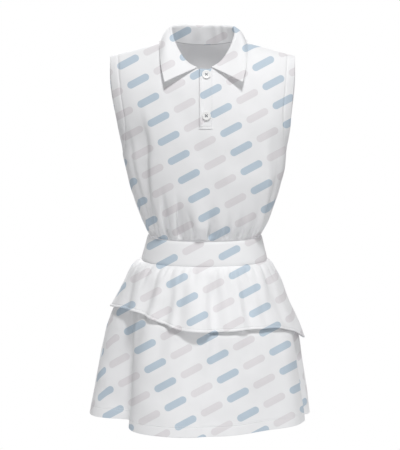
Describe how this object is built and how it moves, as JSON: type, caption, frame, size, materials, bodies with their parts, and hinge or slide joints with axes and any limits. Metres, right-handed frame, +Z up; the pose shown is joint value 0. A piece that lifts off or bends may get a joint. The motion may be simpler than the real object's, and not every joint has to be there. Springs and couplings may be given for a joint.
{
  "type": "sleeveless sports dress",
  "caption": "Short sleeveless sports dress with a shirt collar, buttoned placket, waistband, slanted overskirt and flared skirt, filled out as worn with no wearer, open at neck, arms and hem.",
  "frame": {"origin": "midway between the two high shoulder points, where the collar seam meets the shoulder seams, which is where a wearer's shoulders carry the dress", "axes": "+Z up, the long way of the dress; -Y is the front, where the buttons are; +X is to the right when the front is seen"},
  "size_m": [0.4689, 0.3713, 0.824],
  "materials": {
    "print_knit": "smooth matt sports knit with a printed repeat of rounded dashes",
    "button": "gloss"
  },
  "bodies": {
    "root": {"bodice_front": "print_knit", "bodice_back": "print_knit", "armhole_band_left": "print_knit", "armhole_band_right": "print_knit", "waistband": "print_knit", "skirt_front": "print_knit", "skirt_back": "print_knit", "overskirt_front": "print_knit", "overskirt_back": "print_knit", "collar": "print_knit", "placket": "print_knit", "button_1": "button", "button_2": "button"}
  },
  "joints": []
}
